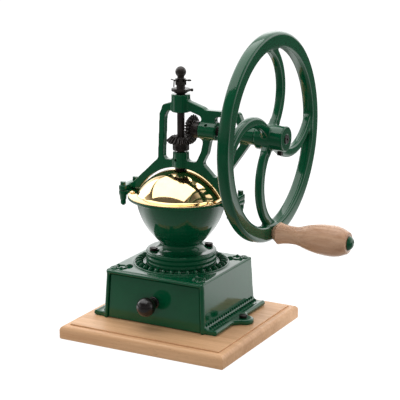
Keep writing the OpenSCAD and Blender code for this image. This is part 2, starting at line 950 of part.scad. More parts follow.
// Limbs of the bridge in the plane of both shafts, before their inner corners are filled
module bridge_limbs() {
    foot_z = z_rim + bridge_foot_h;
    polygon([[-ear_x, z_rim + 2], [-ear_x, foot_z], [-hip_x, foot_z + 2], [-30, shoulder_z],
        [30, shoulder_z], [hip_x, foot_z + 2], [ear_x, foot_z], [ear_x, z_rim + 2]]);
    limb([-26.3, shoulder_z - 2], [-23.7, z_axle + 14], 7.4);
    limb([-23.7, z_axle + 14], [-19.5, z_axle + 23], 8);
    limb([-19.5, z_axle + 23], [-5, z_axle + 27], 9.4);
    limb([5, z_axle + 30], [30, z_axle + 22.3], 11);
    limb([30, z_axle + 22.3], [37.5, z_axle + 15], 10);
    limb([37.5, z_axle], [37.5, z_axle + 16], 9.5);
    limb([26, shoulder_z - 2], [33.5, shoulder_z + 13], 8.4);
    limb([33.5, shoulder_z + 13], [37.8, z_axle - 6], 9);
    limb([37.5, arm_z], [outer_boss_end - 25, arm_z + 0.5], 7);
    limb([outer_boss_end - 25, arm_z + 0.5], [outer_boss_end - 16, z_axle], 7.5);
    limb([outer_boss_end - 10, z_axle - 5], [52, z_rim + 22], 9);
    translate([-0.9 * low_boss_r, z_low_bottom])
        square([1.8 * low_boss_r, z_low_top - z_low_bottom]);
    translate([-0.9 * top_boss_r, z_top_bottom])
        square([1.8 * top_boss_r, top_boss_h]);
    translate([inner_boss_x, z_axle - 0.9 * axle_boss_r])
        square([inner_boss_l, 1.8 * axle_boss_r]);
    translate([outer_boss_end - outer_boss_l, z_axle - 0.9 * axle_boss_r])
        square([outer_boss_l, 1.8 * axle_boss_r]);
}

// Outline of the bridge: every inner corner is filled to a radius, and the arch is cut out
module bridge_outline() {
    difference() {
        offset(r = -fillet_r)
            offset(r = fillet_r)
                bridge_limbs();
        translate([0, z_ball])
            circle(arch_r);
    }
}

module bridge() {
    color("DarkGreen")
        difference() {
            union() {
                rotate([90, 0, 0])
                    linear_extrude(height = bridge_t, center = true)
                        bridge_outline();
                translate([0, 0, z_low_bottom])
                    cylinder(h = z_low_top - z_low_bottom, r = low_boss_r);
                translate([0, 0, z_top_bottom])
                    cylinder(h = top_boss_h, r = top_boss_r);
                translate([0, 0, z_axle]) {
                    lying(inner_boss_x, inner_boss_x + inner_boss_l, axle_boss_r);
                    lying(outer_boss_end - outer_boss_l, outer_boss_end, axle_boss_r);
                }
                for (i = [0, 1])
                    mirror([i, 0, 0])
                        translate([0, 0, z_rim])
                            linear_extrude(height = bridge_foot_h)
                                ear_outline();
            }
            translate([0, 0, z_low_bottom - 2])
                cylinder(h = z_low_top - z_low_bottom + 4, r = main_r + run_gap);
            translate([0, 0, z_top_bottom - 2])
                cylinder(h = top_boss_h - sleeve_depth + 2, r = main_r + run_gap);
            translate([0, 0, z_top - sleeve_depth])
                cylinder(h = sleeve_depth + 2, r = sleeve_r + run_gap);
            translate([0, 0, z_axle])
                lying(inner_boss_x - 2, outer_boss_end + 2, axle_r + run_gap);
            translate([0, 0, z_axle])
                for (x = [inner_boss_x + 0.45 * inner_boss_l, outer_boss_end - 0.5 * outer_boss_l])
                    translate([x, 0, 0])
                        rotate([45, 0, 0])
                            cylinder(h = axle_boss_r + 2, r = 1.2);
            translate([0, 0, (z_low_bottom + z_low_top) / 2])
                rotate([90, 0, -15])
                    cylinder(h = low_boss_r + 2, r = 1.2);
            at_ears()
                translate([0, 0, -1])
                    cylinder(h = bridge_foot_h + 2, r = bolt_r + fit_gap);
        }
}

module bridge_bolts() {
    color("DimGray")
        at_ears() {
            translate([0, 0, -ear_h - 6])
                cylinder(h = ear_h + bridge_foot_h + 7, r = bolt_r);
            translate([0, 0, bridge_foot_h])
                hexagon(bolt_w, bolt_head_h);
        }
}

module bridge_nuts() {
    color("DimGray")
        at_ears()
            translate([0, 0, -ear_h - 4.5])
                difference() {
                    hexagon(bolt_w, 4.5);
                    translate([0, 0, -1])
                        cylinder(h = 7, r = bolt_r + fit_gap);
                }
}

module main_shaft() {
    color("DimGray")
        difference() {
            union() {
                translate([0, 0, z_shaft_bottom])
                    cylinder(h = z_step - z_shaft_bottom, r = main_r);
                translate([0, 0, z_step - 1])
                    cylinder(h = z_castle_top + stud_l - z_step + 1, r = tip_r);
            }
            translate([0, 0, z_castle_top - 1.6])
                rotate([90, 0, pin_turn])
                    cylinder(h = 40, r = pin_r + fit_gap, center = true);
            translate([0, 0, z_axle - gear_back - gear_hub_l / 2])
                rotate([90, 0, 0])
                    cylinder(h = 40, r = gear_pin_r + fit_gap, center = true);
        }
}

// Bevel gear with its cone point at the origin and its hub of length l below.
// The teeth are turned by the given angle; the pin hole stays across the hub.
module bevel_gear(l, bore, turn, pin_r) {
    n = 8 * gear_teeth;
    big = gear_ring(1);
    small = gear_ring(gear_small);
    points = concat(big, small, [[0, 0, -gear_back], [0, 0, -gear_small * pitch_r - 1]]);
    sides = [for (i = [0 : n - 1])
        for (f = [[i, n + i, (i + 1) % n], [(i + 1) % n, n + i, n + (i + 1) % n]]) f];
    backs = [for (i = [0 : n - 1]) [i, (i + 1) % n, 2 * n]];
    fronts = [for (i = [0 : n - 1]) [n + (i + 1) % n, n + i, 2 * n + 1]];
    difference() {
        union() {
            rotate(turn)
                polyhedron(points, concat(sides, backs, fronts));
            translate([0, 0, -gear_back - l])
                rotate(13)
                    cylinder(h = l + gear_back_t + 1, r = gear_hub_r);
        }
        translate([0, 0, -gear_back - l - 1])
            rotate(13)
                cylinder(h = gear_back + l + 2, r = bore + fit_gap);
        translate([0, 0, -gear_back - l / 2])
            rotate([90, 0, 0])
                cylinder(h = 60, r = pin_r + fit_gap, center = true);
    }
}

module driven_gear() {
    color("DimGray")
        translate([0, 0, z_axle])
            bevel_gear(gear_hub_l, main_r, 0, gear_pin_r);
}

module driven_gear_pin() {
    color("DimGray")
        translate([0, 0, z_axle - gear_back - gear_hub_l / 2])
            rotate([90, 0, 0])
                cylinder(h = 2 * gear_hub_r + 1, r = gear_pin_r, center = true);
}

module castle_nut() {
    color("DimGray")
        difference() {
            translate([0, 0, z_castle])
                hexagon(castle_w, castle_h);
            translate([0, 0, z_castle - 1])
                cylinder(h = castle_h + 2, r = tip_r + fit_gap);
            for (i = [0 : 2])
                translate([0, 0, z_castle_top - 1.3])
                    rotate(pin_turn + 90 + 60 * i)
                        cube([3 * castle_w, 2.4, 2.8], center = true);
        }
}

module split_pin() {
    end = castle_w / 2 + 1.8;
    color("DimGray")
        translate([0, 0, z_castle_top - 1.6])
            rotate([90, 0, pin_turn]) {
                cylinder(h = 2 * end, r = pin_r, center = true);
                translate([0, 0, end + 1.6])
                    rotate([90, 90, 0])
                        rotate_extrude()
                            translate([1.8, 0])
                                circle(pin_r);
                rod([0, 0, 0.5 - end], [0, 1.4, -end - 3.6], 0.6);
                rod([0, 0, 0.5 - end], [0, -8, -end], 0.7);
            }
}

module finial() {
    low = z_castle_top + 0.05;
    color("DimGray")
        difference() {
            union() {
                translate([0, 0, z_finial])
                    sphere(finial_r);
                translate([0, 0, low])
                    cylinder(h = z_finial - low, r = 4.2);
            }
            translate([0, 0, z_castle_top - 1])
                cylinder(h = stud_l + 1.2, r = tip_r + fit_gap);
        }
}

module thrust_washer() {
    color("DarkGoldenrod")
        translate([0, 0, z_sleeve + 0.1])
            difference() {
                cylinder(h = washer_t - 0.2, r = sleeve_r);
                translate([0, 0, -1])
                    cylinder(h = washer_t + 2, r = tip_r + run_gap);
            }
}

module adjusting_sleeve() {
    color("DimGray")
        difference() {
            union() {
                translate([0, 0, z_top - sleeve_depth + 1.4])
                    cylinder(h = sleeve_h + sleeve_depth - 1.4, r = sleeve_r);
                translate([0, 0, disc_z])
                    cylinder(h = disc_t, r = disc_r);
                translate([0, 0, disc_z - 0.6 * disc_rise])
                    cylinder(h = 0.6 * disc_rise + 0.5, r1 = 0.65 * disc_r, r2 = 0.92 * disc_r);
                rotate(20)
                    translate([disc_r - 3, 0, disc_z + disc_t / 2])
                        rotate([0, 90, 0]) {
                            cylinder(h = 4.6, r = 1);
                            translate([0, 0, 3.6])
                                cylinder(h = 3, r = 1.8);
                        }
            }
            translate([0, 0, z_top - sleeve_depth - 1])
                cylinder(h = sleeve_h + sleeve_depth + 2, r = tip_r + run_gap);
        }
}

// Flywheel lying flat round Z: local +X is the downward direction of the wheel
module wheel_flat() {
    m = circle_middle(spoke_a, spoke_b, spoke_c);
    r = norm(spoke_a - m);
    a = atan2(m[1] - spoke_a[1], spoke_a[0] - m[0]);
    b = atan2(m[1] - spoke_c[1], spoke_c[0] - m[0]);
    root = 0.6 * hub_r / r * 180 / PI;
    rotate_extrude()
        translate([rim_mid, 0])
            rounded(rim_radial, rim_axial, rim_edge_r);
    for (i = [0 : 3])
        rotate(90 * i + spoke_turn)
            translate([m[0], -m[1], 0])
                rotate(a - root)
                    rotate_extrude(angle = b - a + root)
                        translate([r, 0])
                            rounded(spoke_w, spoke_t, spoke_edge_r);
    translate([0, 0, hub_start - wheel_x])
        cylinder(h = hub_end - hub_start, r = hub_r);
}

module flywheel() {
    color("DarkGreen")
        difference() {
            translate([wheel_x, 0, z_axle])
                rotate([0, 90, 0])
                    wheel_flat();
            translate([0, 0, z_axle])
                lying(hub_start - 2, hub_end + 2, axle_r + fit_gap);
            translate([0, 0, z_axle - rim_mid])
                lying(wheel_x - rim_axial, wheel_x + rim_axial, grip_bolt_r + fit_gap);
            translate([set_screw_x, 0, z_axle - hub_r - 2])
                cylinder(h = hub_r + 2, r = set_screw_r + fit_gap);
        }
}

module drive_shaft() {
    color("DimGray")
        translate([0, 0, z_axle])
            difference() {
                lying(0.55 * pitch_r, hub_end + 1.2, axle_r);
                lying(hub_end - 1, hub_end + 2, 1.6);
                translate([gear_back + drive_hub_l / 2, 0, 0])
                    rotate([90, 0, 0])
                        cylinder(h = 40, r = drive_pin_r + fit_gap, center = true);
                translate([set_screw_x, 0, -axle_r - 1])
                    cylinder(h = 2, r = set_screw_r + fit_gap);
            }
}

// Turned by half a tooth, so that its gaps meet the teeth of the other gear
module drive_gear() {
    color("DimGray")
        translate([0, 0, z_axle])
            rotate([0, -90, 0])
                bevel_gear(drive_hub_l, axle_r, 180 / gear_teeth, drive_pin_r);
}

module drive_gear_pin() {
    color("DimGray")
        translate([gear_back + drive_hub_l / 2, 0, z_axle])
            rotate([90, 0, 0])
                cylinder(h = 2 * gear_hub_r + 1, r = drive_pin_r, center = true);
}

module wheel_set_screw() {
    color("DimGray")
        translate([set_screw_x, 0, z_axle - hub_r - 3.5]) {
            cylinder(h = hub_r + 3.5 - axle_r + 0.5, r = set_screw_r);
            translate([-2.6, -2.6, -1])
                cube([5.2, 5.2, 4]);
        }
}

// Half section of the grip along its axis, from the wheel to the free end
module grip_section() {
    bore = grip_bolt_r + run_gap;
    l = grip_l;
    neck = grip_waist_r + 0.3 * (grip_r - grip_waist_r);
    flare = arc_points([grip_flare_r, 0.07 * l], [grip_waist_r, 0.27 * l], -0.6 * l, 8);
    swell = arc_points([grip_waist_r, 0.27 * l], [neck, 0.4 * l], -0.33 * l, 6);
    bulge = arc_points([neck, 0.4 * l], [grip_r, 0.76 * l], 1.15 * l, 8);
    end = arc_points([grip_r, 0.76 * l], [11, l], 0.42 * l, 8);
    polygon(concat([[bore, 0], [grip_flare_r - 3.5, 0]], flare, swell, bulge, end, [[bore, l]]));
}

module grip() {
    color("Peru")
        translate([grip_x, 0, z_axle - rim_mid])
            rotate([0, 90, 0])
                rotate_extrude()
                    grip_section();
}

// Bolt with a domed head, turned in one piece
module grip_bolt() {
    head_r = 8.4;
    head_h = 5.6;
    start = wheel_x - rim_axial / 2 + 0.5;
    reach = grip_end + 0.4 - start;
    dome = arc_points([head_r, reach + 0.6], [0, reach + head_h], 9.4, 8);
    color("DarkGreen")
        translate([start, 0, z_axle - rim_mid])
            rotate([0, 90, 0])
                rotate_extrude()
                    polygon(concat([[0, 0], [grip_bolt_r, 0], [grip_bolt_r, reach], [head_r, reach]], dome));
}

base_board();
housing();
housing_screws();
drawer_front();
drawer_tray();
drawer_screws();
drawer_knob();
drawer_knob_screw();
bowl();
bowl_screws();
burr_ring();
cover_front();
cover_screws();
cover_collar();
cover_door();
cover_door_knob();
bridge();
bridge_bolts();
bridge_nuts();
main_shaft();
driven_gear();
driven_gear_pin();
burr_cone();
burr_washer();
burr_nut();
castle_nut();
split_pin();
finial();
thrust_washer();
adjusting_sleeve();
flywheel();
drive_shaft();
drive_gear();
drive_gear_pin();
wheel_set_screw();
grip_bolt();
grip();
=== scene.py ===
import bpy
import math
from mathutils import Matrix, Vector


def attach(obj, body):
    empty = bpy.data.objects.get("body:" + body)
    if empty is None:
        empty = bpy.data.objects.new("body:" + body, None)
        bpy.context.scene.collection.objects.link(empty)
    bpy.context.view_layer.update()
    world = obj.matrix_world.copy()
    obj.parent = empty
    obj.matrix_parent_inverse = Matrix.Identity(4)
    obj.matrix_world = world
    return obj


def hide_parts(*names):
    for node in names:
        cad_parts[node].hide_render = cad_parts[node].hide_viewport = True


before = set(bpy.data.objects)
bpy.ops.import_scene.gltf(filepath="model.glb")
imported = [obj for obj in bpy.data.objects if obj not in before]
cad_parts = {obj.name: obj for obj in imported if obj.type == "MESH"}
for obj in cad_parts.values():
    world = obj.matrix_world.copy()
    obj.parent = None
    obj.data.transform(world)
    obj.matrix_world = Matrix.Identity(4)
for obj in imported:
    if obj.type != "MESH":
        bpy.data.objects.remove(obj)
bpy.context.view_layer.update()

# Studio: a white sheet on the floor, a large soft lamp overhead, one at the left and a fill in front that
# leaves no reflection. The sheet glows with painted light: plain white to the camera, and to reflections and
# bounced light it glows bright behind the mill and fades towards the camera. A soft band of light stands low
# round the room.
bpy.ops.object.select_all(action="DESELECT")
camera_place = Vector((0.8378, -1.5084, 0.6114))
camera_target = Vector((0.0292, -0.0062, 0.1621))
camera_lens, camera_sensor = 132.8, 36.0
bpy.ops.object.camera_add(location=camera_place)
camera = bpy.context.object
camera.rotation_euler = (camera_target - camera_place).to_track_quat("-Z", "Y").to_euler()
camera.data.lens = camera_lens
camera.data.sensor_width = camera_sensor
bpy.context.scene.camera = camera
bpy.context.scene.view_settings.view_transform = "Standard"

sheet_size, sheet_drop = 30.0, 0.0002
bpy.ops.mesh.primitive_plane_add(size=sheet_size, location=(0.0, 0.0, -sheet_drop))
floor = bpy.context.object
floor.name = "studio_floor"


def shader_node(tree, kind, **values):
    """Adds one shader node and sets the named sockets, with _ for a space in a socket's name."""
    node = tree.nodes.new(kind)
    for name, value in values.items():
        node.inputs[name.replace("_", " ")].default_value = value
    return node


def new_material(name):
    """Starts a material and returns it with its node tree and its surface shader."""
    material = bpy.data.materials.new(name)
    material.use_nodes = True
    return material, material.node_tree, material.node_tree.nodes["Principled BSDF"]


def tones(tree, *stops):
    """A ramp through the given (position, colour) stops."""
    ramp = tree.nodes.new("ShaderNodeValToRGB")
    for i, (position, colour) in enumerate(stops):
        step = ramp.color_ramp.elements[i] if i < 2 else ramp.color_ramp.elements.new(position)
        step.position = position
        step.color = (*colour, 1.0)
    return ramp


def greys(tree, *stops):
    """A ramp through the given (position, brightness) stops."""
    return tones(tree, *((position, (tone, tone, tone)) for position, tone in stops))


def dot_with(tree, direction):
    """A node that measures how far a vector points along a direction."""
    node = tree.nodes.new("ShaderNodeVectorMath")
    node.operation = "DOT_PRODUCT"
    node.inputs[1].default_value = direction
    return node


to_camera, to_bright_wall = (0.49, -0.87, 0.0), (0.342, 0.940, 0.0)
sheet_strength, room_strength = 1.8, 1.3
paper, tree, surface = new_material("studio_paper")
surface.inputs["Base Color"].default_value = (0.12, 0.12, 0.12, 1.0)
surface.inputs["Roughness"].default_value = 0.9
surface.inputs["Specular IOR Level"].default_value = 0.0
# Painted light: the sheet's emission glows bright behind the mill and fades towards the camera for reflections
# and bounce, and shows plain white to the camera.
surface.inputs["Emission Color"].default_value = (1.0, 1.0, 1.0, 1.0)
place = tree.nodes.new("ShaderNodeTexCoord")
nearness = dot_with(tree, to_camera)
spread = shader_node(tree, "ShaderNodeMapRange", From_Min=-0.6, From_Max=0.6, To_Min=0.0, To_Max=1.0)
sheet_light = greys(tree, (0.04, 0.03), (0.88, 0.01), (0.15, 0.08), (0.25, 0.45), (0.37, 1.0),
                    (0.46, 0.80), (0.54, 0.27), (0.63, 0.15), (0.71, 0.09))
strength = shader_node(tree, "ShaderNodeMapRange", From_Min=0.0, From_Max=1.0,
                       To_Min=0.0, To_Max=sheet_strength)
eye = tree.nodes.new("ShaderNodeLightPath")
glow = tree.nodes.new("ShaderNodeMix")
glow.data_type = "FLOAT"
glow.inputs["B"].default_value = 1.0
tree.links.new(place.outputs["Object"], nearness.inputs[0])
tree.links.new(nearness.outputs["Value"], spread.inputs["Value"])
tree.links.new(spread.outputs["Result"], sheet_light.inputs["Fac"])
tree.links.new(sheet_light.outputs["Color"], strength.inputs["Value"])
tree.links.new(eye.outputs["Is Camera Ray"], glow.inputs["Factor"])
tree.links.new(strength.outputs["Result"], glow.inputs["A"])
tree.links.new(glow.outputs["Result"], surface.inputs["Emission Strength"])
floor.data.materials.append(paper)

world = bpy.data.worlds.new("studio_room")
world.use_nodes = True
bpy.context.scene.world = world
tree = world.node_tree
room = tree.nodes["Background"]
room.inputs["Strength"].default_value = room_strength
place = tree.nodes.new("ShaderNodeTexCoord")
facing = dot_with(tree, to_bright_wall)
spread = shader_node(tree, "ShaderNodeMapRange", From_Min=-1.0, From_Max=1.0, To_Min=0.0, To_Max=1.0)
walls = greys(tree, (0.57, 0.10), (0.81, 1.0))
split = tree.nodes.new("ShaderNodeSeparateXYZ")
low_band = greys(tree, (0.0, 0.0), (0.58, 0.0), (0.22, 0.85))
camera_side = dot_with(tree, to_camera)
shade = shader_node(tree, "ShaderNodeMapRange", From_Min=0.0, From_Max=0.5, To_Min=1.0, To_Max=0.2)
band = tree.nodes.new("ShaderNodeVectorMath")
band.operation = "SCALE"
both = tree.nodes.new("ShaderNodeVectorMath")
both.operation = "ADD"
eye = tree.nodes.new("ShaderNodeLightPath")
seen = tree.nodes.new("ShaderNodeMix")
seen.data_type = "RGBA"
seen.inputs["B"].default_value = (1.0, 1.0, 1.0, 1.0)
tree.links.new(place.outputs["Generated"], facing.inputs[0])
tree.links.new(facing.outputs["Value"], spread.inputs["Value"])
tree.links.new(spread.outputs["Result"], walls.inputs["Fac"])
tree.links.new(eye.outputs["Is Camera Ray"], seen.inputs["Factor"])
tree.links.new(place.outputs["Generated"], split.inputs["Vector"])
tree.links.new(split.outputs["Z"], low_band.inputs["Fac"])
tree.links.new(walls.outputs["Color"], both.inputs[0])
tree.links.new(place.outputs["Generated"], camera_side.inputs[0])
tree.links.new(camera_side.outputs["Value"], shade.inputs["Value"])
tree.links.new(low_band.outputs["Color"], band.inputs["Vector"])
tree.links.new(shade.outputs["Result"], band.inputs["Scale"])
tree.links.new(band.outputs["Vector"], both.inputs[1])
tree.links.new(both.outputs["Vector"], seen.inputs["A"])
tree.links.new(seen.outputs["Result"], room.inputs["Color"])


def softbox(name, place, target, width, height, power):
    """A rectangular lamp at place that faces target."""
    bpy.ops.object.light_add(type="AREA", location=place)
    lamp = bpy.context.object
    lamp.name = name
    lamp.rotation_euler = (Vector(target) - Vector(place)).to_track_quat("-Z", "Y").to_euler()
    lamp.data.shape = "RECTANGLE"
    lamp.data.size = width
    lamp.data.size_y = height
    lamp.data.energy = power
    return lamp


softbox("lamp_above", place=(-0.40, 0.07, 1.20), target=(-0.40, 0.071, 0.0),
        width=1.77, height=1.35, power=19.0)
softbox("lamp_left", place=(-1.5, 0.40, 0.73), target=(0.0, 0.0, 0.18),
        width=0.92, height=0.85, power=6.5)
fill = softbox("lamp_fill", place=(0.30, -1.40, 0.22), target=(0.0, 0.0, 0.05),
               width=1.8, height=0.4, power=6.0)
fill.visible_glossy = False


# Base board: one plank of light beech, planed flat, with a rounded upper edge and a low step
# that leaves a raised panel under the mill. Oiled, with the grain running left to right.
board_middle = Vector((0.009, -0.017))
board_width, board_depth, board_height = 0.220, 0.205, 0.018
board_border, board_step, board_groove, board_round = 0.0095, 0.0015, 0.0005, 0.0054
board_low = board_height - board_step
foot_round, groove_width, board_edge = 0.0018, 0.0007, 0.0006


def start_piece(name):
    """Names the primitive just added and puts its place into its mesh."""
    piece = bpy.context.object
    piece.name = name
    piece.data.name = name
    bpy.ops.object.transform_apply(location=True, rotation=True, scale=True)
    return piece


def pick_faces(piece, test):
    """Selects the faces whose centre and normal pass the test, in edit mode."""
    bpy.ops.object.mode_set(mode="EDIT")
    bpy.ops.mesh.select_mode(type="FACE")
    bpy.ops.mesh.select_all(action="DESELECT")
    bpy.ops.object.mode_set(mode="OBJECT")
    for face in piece.data.polygons:
        face.select = test(face.center, face.normal)
    bpy.ops.object.mode_set(mode="EDIT")


def pick_edges(piece, test):
    """Selects the edges whose two ends pass the test, in edit mode."""
    bpy.ops.object.mode_set(mode="EDIT")
    bpy.ops.mesh.select_mode(type="EDGE")
    bpy.ops.mesh.select_all(action="DESELECT")
    bpy.ops.object.mode_set(mode="OBJECT")
    points = piece.data.vertices
    for edge in piece.data.edges:
        edge.select = test(points[edge.vertices[0]].co) and test(points[edge.vertices[1]].co)
    bpy.ops.object.mode_set(mode="EDIT")


def break_edges(piece, width, rounds, angle):
    """Rounds every edge sharper than the angle and keeps the faces between them flat."""
    bpy.ops.object.mode_set(mode="OBJECT")
    bpy.ops.object.shade_smooth()
    soften = piece.modifiers.new("soften", "BEVEL")
    soften.width = width
    soften.segments = rounds
    soften.limit_method = "ANGLE"
    soften.angle_limit = math.radians(angle)
    soften.harden_normals = True
    bpy.ops.object.modifier_apply(modifier=soften.name)


def dress(piece, material, body, slot, *nodes):
    """Ends a piece: its material, the body it rides on and the nodes it stands for."""
    bpy.ops.object.mode_set(mode="OBJECT")
    piece.data.materials.clear()
    piece.data.materials.append(material)
    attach(piece, body)
    if nodes:
        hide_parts(*nodes)


bpy.ops.object.select_all(action="DESELECT")
bpy.ops.mesh.primitive_cube_add(size=1.0, location=(*board_middle, board_low / 2),
                                scale=(board_width, board_depth, board_low))
board = start_piece("base_board_plank")
pick_edges(board, lambda p: p.z > board_low - 1e-5)
bpy.ops.mesh.bevel(offset=board_round, segments=7, affect="EDGES")
pick_edges(board, lambda p: p.z < 1e-5)
bpy.ops.mesh.bevel(offset=foot_round, segments=3, affect="EDGES")
pick_faces(board, lambda c, n: n.z > 0.9999)
bpy.ops.mesh.inset(thickness=board_border - board_round - groove_width)
bpy.ops.mesh.inset(thickness=groove_width, depth=-board_groove)
bpy.ops.mesh.extrude_region_move(TRANSFORM_OT_translate={"value": (0.0, 0.0, board_step + board_groove)})
break_edges(board, board_edge, rounds=2, angle=32)


def beech(name, pale, dark, fleck, roughness, band_scale):
    """Oiled beech, grain along X: soft bands, fine streaks and the short dark flecks of the wood."""
    wood, tree, surface = new_material(name)
    place = tree.nodes.new("ShaderNodeTexCoord")
    along = tree.nodes.new("ShaderNodeMapping")
    along.inputs["Scale"].default_value = (0.05, 1.0, 1.0)
    bands = shader_node(tree, "ShaderNodeTexNoise", Scale=band_scale, Detail=3.0, Roughness=0.55,
                        Distortion=0.4)
    streaks = shader_node(tree, "ShaderNodeTexNoise", Scale=330.0, Detail=4.0, Roughness=0.60)
    mixed = tree.nodes.new("ShaderNodeMix")
    mixed.data_type = "FLOAT"
    mixed.inputs["Factor"].default_value = 0.45
    tone = tones(tree, (0.38, pale), (0.64, dark))
    short = tree.nodes.new("ShaderNodeMapping")
    short.inputs["Scale"].default_value = (0.16, 1.0, 1.0)
    pores = shader_node(tree, "ShaderNodeTexNoise", Scale=1250.0, Detail=2.0)
    spots = shader_node(tree, "ShaderNodeMapRange", From_Min=0.62, From_Max=0.74, To_Min=0.0, To_Max=0.6)
    colour = tree.nodes.new("ShaderNodeMix")
    colour.data_type = "RGBA"
    colour.inputs["B"].default_value = (*fleck, 1.0)
    polish = shader_node(tree, "ShaderNodeMapRange", From_Min=0.3, From_Max=0.7,
                         To_Min=roughness - 0.05, To_Max=roughness + 0.08)
    relief = shader_node(tree, "ShaderNodeBump", Strength=0.16, Distance=0.0003)
    for mapping in (along, short):
        tree.links.new(place.outputs["Object"], mapping.inputs["Vector"])
    tree.links.new(along.outputs["Vector"], bands.inputs["Vector"])
    tree.links.new(along.outputs["Vector"], streaks.inputs["Vector"])
    tree.links.new(bands.outputs["Fac"], mixed.inputs["A"])
    tree.links.new(streaks.outputs["Fac"], mixed.inputs["B"])
    tree.links.new(mixed.outputs["Result"], tone.inputs["Fac"])
    tree.links.new(short.outputs["Vector"], pores.inputs["Vector"])
    tree.links.new(pores.outputs["Fac"], spots.inputs["Value"])
    tree.links.new(spots.outputs["Result"], colour.inputs["Factor"])
    tree.links.new(tone.outputs["Color"], colour.inputs["A"])
    tree.links.new(colour.outputs["Result"], surface.inputs["Base Color"])
    tree.links.new(streaks.outputs["Fac"], polish.inputs["Value"])
    tree.links.new(polish.outputs["Result"], surface.inputs["Roughness"])
    tree.links.new(pores.outputs["Fac"], relief.inputs["Height"])
    tree.links.new(relief.outputs["Normal"], surface.inputs["Normal"])
    surface.inputs["Specular IOR Level"].default_value = 0.35
    return wood


board_beech = beech("board_beech", pale=(0.71, 0.424, 0.230), dark=(0.57, 0.310, 0.154),
                    fleck=(0.42, 0.218, 0.103), roughness=0.44, band_scale=60.0)
dress(board, board_beech, "stand", "board_wood", "base_board")


# Housing: a box cast in grey iron with sloping walls, a top plate, and a foot flange with a screw
# lug on each side. It is dipped in thick dark green enamel, which rounds every edge.
enamel, tree, surface = new_material("green_enamel")
place = tree.nodes.new("ShaderNodeTexCoord")
cloud = shader_node(tree, "ShaderNodeTexNoise", Scale=24.0, Detail=4.0, Roughness=0.6)
tone = tones(tree, (0.30, (0.0004, 0.059, 0.0222)), (0.72, (0.0010, 0.076, 0.0295)))
polish = shader_node(tree, "ShaderNodeMapRange", From_Min=0.25, From_Max=0.75, To_Min=0.07, To_Max=0.13)
peel = shader_node(tree, "ShaderNodeTexNoise", Scale=420.0, Detail=2.0)
swell = shader_node(tree, "ShaderNodeTexNoise", Scale=75.0, Detail=2.0)
peel_relief = shader_node(tree, "ShaderNodeBump", Strength=0.04, Distance=0.0005)
swell_relief = shader_node(tree, "ShaderNodeBump", Strength=0.07, Distance=0.0012)
for texture in (cloud, peel, swell):
    tree.links.new(place.outputs["Object"], texture.inputs["Vector"])
tree.links.new(cloud.outputs["Fac"], tone.inputs["Fac"])
tree.links.new(tone.outputs["Color"], surface.inputs["Base Color"])
tree.links.new(cloud.outputs["Fac"], polish.inputs["Value"])
tree.links.new(polish.outputs["Result"], surface.inputs["Roughness"])
tree.links.new(swell.outputs["Fac"], swell_relief.inputs["Height"])
tree.links.new(swell_relief.outputs["Normal"], peel_relief.inputs["Normal"])
tree.links.new(peel.outputs["Fac"], peel_relief.inputs["Height"])
tree.links.new(peel_relief.outputs["Normal"], surface.inputs["Normal"])
surface.inputs["Specular IOR Level"].default_value = 0.45


def copy_node(name, node):
    """A copy of a node's mesh as a new piece, with its loose triangles joined."""
    bpy.ops.object.select_all(action="DESELECT")
    piece = bpy.data.objects.new(name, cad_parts[node].data.copy())
    bpy.context.scene.collection.objects.link(piece)
    bpy.context.view_layer.objects.active = piece
    piece.select_set(True)
    bpy.ops.object.mode_set(mode="EDIT")
    bpy.ops.mesh.select_all(action="SELECT")
    bpy.ops.mesh.remove_doubles(threshold=1e-5)
    bpy.ops.object.mode_set(mode="OBJECT")
    return piece


def cast_piece(name, node, skin_size, rounds):
    """A copy of a node with its edges run together, as a casting has them."""
    piece = copy_node(name, node)
    skin = piece.modifiers.new("skin", "REMESH")
    skin.mode = "VOXEL"
    skin.voxel_size = skin_size
    bpy.ops.object.modifier_apply(modifier=skin.name)
    flow = piece.modifiers.new("flow", "SMOOTH")
    flow.factor = 0.5
    flow.iterations = rounds
    bpy.ops.object.modifier_apply(modifier=flow.name)
    bpy.ops.object.shade_smooth()
    return piece


housing = cast_piece("housing_casting", "housing", skin_size=0.00115, rounds=5)
dress(housing, enamel, "stand", "green_enamel", "housing")


# Relief on the housing: tongues and two rings round the foot of the bowl, a pair of scrolls with a
# leaf in each corner of the top plate, a round lip along its front edge, and slanting leaves along the
# foot flanges. Cast in one with it.
plate_height = 0.0790
ring_height = plate_height + 0.0008


def copies(piece, places):
    """Puts copies of a piece at the given places and joins them into it."""
    bpy.ops.object.mode_set(mode="OBJECT")
    bpy.ops.object.select_all(action="DESELECT")
    for place in places[1:]:
        twin = bpy.data.objects.new(piece.name, piece.data.copy())
        bpy.context.scene.collection.objects.link(twin)
        twin.data.transform(place)
        if place.determinant() < 0:
            twin.data.flip_normals()
        twin.select_set(True)
    piece.data.transform(places[0])
    if places[0].determinant() < 0:
        piece.data.flip_normals()
    piece.select_set(True)
    bpy.context.view_layer.objects.active = piece
    bpy.ops.object.join()
    return piece


def leaf(name, length, width, height):
    """A low pointed leaf lying along X with its base at the origin's height."""
    bpy.ops.object.select_all(action="DESELECT")
    bpy.ops.mesh.primitive_cube_add(size=1.0, location=(0.0, 0.0, 0.0), scale=(length, width, 2 * height))
    piece = start_piece(name)
    pick_faces(piece, lambda c, n: n.z > 0.5)
    bpy.ops.transform.resize(value=(0.62, 0.35, 1.0))
    pick_faces(piece, lambda c, n: n.x < -0.5)
    bpy.ops.transform.resize(value=(1.0, 0.45, 1.0))
    bpy.ops.object.mode_set(mode="OBJECT")
    swell = piece.modifiers.new("swell", "SUBSURF")
    swell.levels = 2
    swell.render_levels = 2
    bpy.ops.object.modifier_apply(modifier=swell.name)
    bpy.ops.object.shade_smooth()
    return piece


